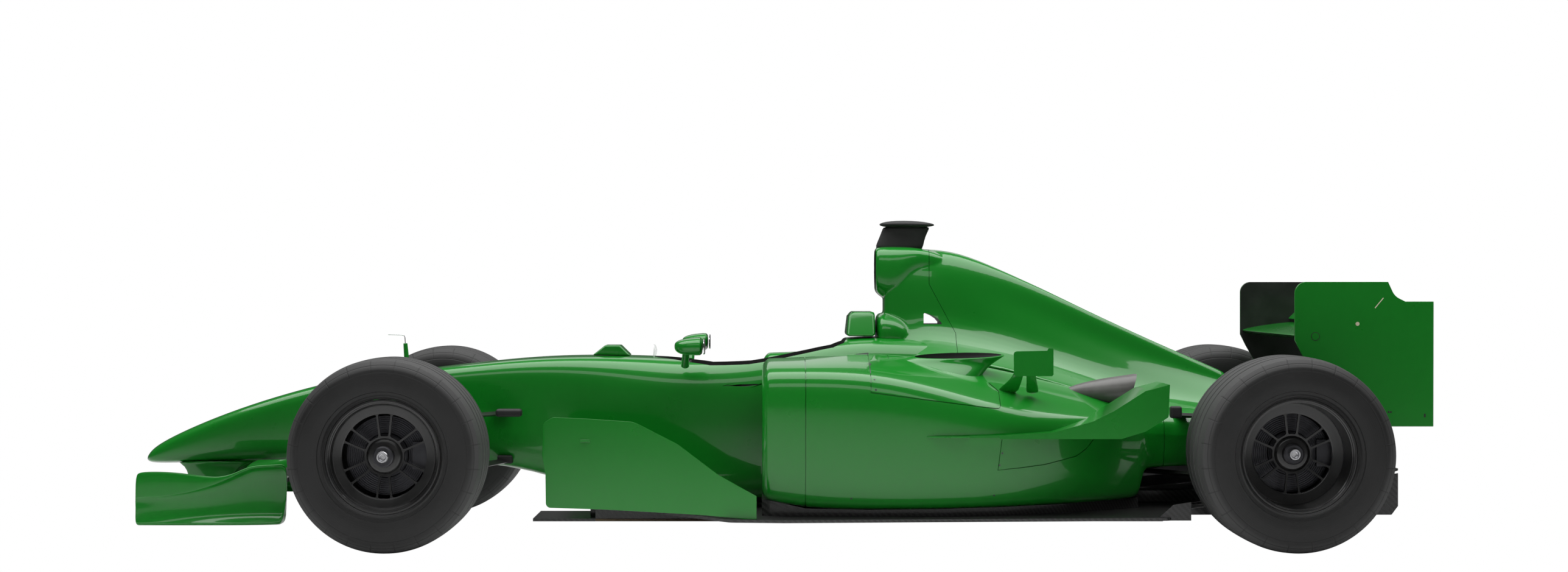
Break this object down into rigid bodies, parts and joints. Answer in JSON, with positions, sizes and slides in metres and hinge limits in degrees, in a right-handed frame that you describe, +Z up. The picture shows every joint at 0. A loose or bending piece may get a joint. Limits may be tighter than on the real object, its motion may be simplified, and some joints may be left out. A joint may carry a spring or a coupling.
{
  "type": "open wheel racing car",
  "caption": "Single-seat open wheel racing car with wings front and rear, hollow cockpit, turning wheels and working steering.",
  "frame": {"origin": "on the ground, midway between nose tip and rear wing, on the centre line", "axes": "+X towards the tail, +Y towards the car's right, +Z up"},
  "size_m": [4.556, 1.8, 1.1263],
  "materials": {
    "body_green": "gloss paint on moulded composite",
    "carbon_black": "satin woven carbon",
    "suspension_black": "satin carbon tube",
    "plank_wood": "pressed wood board",
    "core_grey": "dark finned core",
    "duct_grey": "heat resistant satin coating",
    "seat_shell": "satin",
    "cast_grey": "cast satin",
    "light_red": "clear red lens",
    "screen_clear": "clear",
    "mirror_face": "mirror",
    "upright_metal": "dark satin",
    "tyre_rubber": "grooved dry tyre rubber",
    "wheel_black": "satin black forged wheel",
    "hub_silver": "bright turned metal"
  },
  "bodies": {
    "chassis": {"bargeboards": "body_green", "camera_pod": "carbon_black", "chimneys": "body_green", "diffuser": "carbon_black", "engine": "cast_grey", "engine_cover": "body_green", "exhausts": "duct_grey", "flip_ups": "body_green", "floor": "carbon_black", "front_wing": "carbon_black", "front_wing_endplates": "body_green", "front_wishbones": "suspension_black", "gearbox": "cast_grey", "headrest": "body_green", "mirror_glasses": "mirror_face", "mirrors": "body_green", "monocoque": "body_green", "nose_cone": "body_green", "pitot_mast": "body_green", "plank": "plank_wood", "pushrods": "suspension_black", "radiators": "core_grey", "rain_light": "light_red", "rear_uprights": "upright_metal", "rear_wing": "body_green", "rear_wing_endplates": "body_green", "rear_wishbones": "suspension_black", "roll_structure": "body_green", "scuttle_bump": "body_green", "seat": "seat_shell", "sidepod_left": "body_green", "sidepod_right": "body_green", "windscreen": "screen_clear", "winglets": "body_green"},
    "steering_wheel": {"steering_wheel": "carbon_black"},
    "steering_rack": {"steering_rack": "upright_metal"},
    "knuckle_left": {"knuckle_left": "upright_metal"},
    "knuckle_right": {"knuckle_right": "upright_metal"},
    "wheel_front_left": {"tyre_front_left": "tyre_rubber", "rim_front_left": "wheel_black", "hub_front_left": "hub_silver"},
    "wheel_front_right": {"tyre_front_right": "tyre_rubber", "rim_front_right": "wheel_black", "hub_front_right": "hub_silver"},
    "wheel_rear_left": {"tyre_rear_left": "tyre_rubber", "rim_rear_left": "wheel_black", "hub_rear_left": "hub_silver"},
    "wheel_rear_right": {"tyre_rear_right": "tyre_rubber", "rim_rear_right": "wheel_black", "hub_rear_right": "hub_silver"}
  },
  "joints": [
    {"name": "steer_left", "type": "hinge", "parent": "chassis", "child": "knuckle_left", "pos_m": [-1.287, -0.65, 0.325], "axis": [0, 0, 1], "range_deg": [-16, 16]},
    {"name": "steer_right", "type": "hinge", "parent": "chassis", "child": "knuckle_right", "pos_m": [-1.287, 0.65, 0.325], "axis": [0, 0, 1], "range_deg": [-16.5, 16.5]},
    {"name": "rack_slide", "type": "slide", "parent": "chassis", "child": "steering_rack", "axis": [0, 1, 0], "range_m": [-0.0215, 0.0215]},
    {"name": "steering_wheel_turn", "type": "hinge", "parent": "chassis", "child": "steering_wheel", "pos_m": [-0.3, 0, 0.54], "axis": [0.9744, 0, 0.225], "range_deg": [-165, 165]},
    {"name": "front_left_spin", "type": "hinge", "parent": "knuckle_left", "child": "wheel_front_left", "pos_m": [-1.287, -0.7, 0.325], "axis": [0, 1, 0], "continuous": true},
    {"name": "front_right_spin", "type": "hinge", "parent": "knuckle_right", "child": "wheel_front_right", "pos_m": [-1.287, 0.7, 0.325], "axis": [0, 1, 0], "continuous": true},
    {"name": "rear_left_spin", "type": "hinge", "parent": "chassis", "child": "wheel_rear_left", "pos_m": [1.734, -0.7, 0.3275], "axis": [0, 1, 0], "continuous": true},
    {"name": "rear_right_spin", "type": "hinge", "parent": "chassis", "child": "wheel_rear_right", "pos_m": [1.734, 0.7, 0.3275], "axis": [0, 1, 0], "continuous": true}
  ],
  "couplings": [
    {"joint": "steer_right", "follows": "steer_left", "ratio": 1},
    {"joint": "rack_slide", "follows": "steer_left", "m_per_rad": -0.0741},
    {"joint": "steering_wheel_turn", "follows": "steer_left", "ratio": 10}
  ]
}
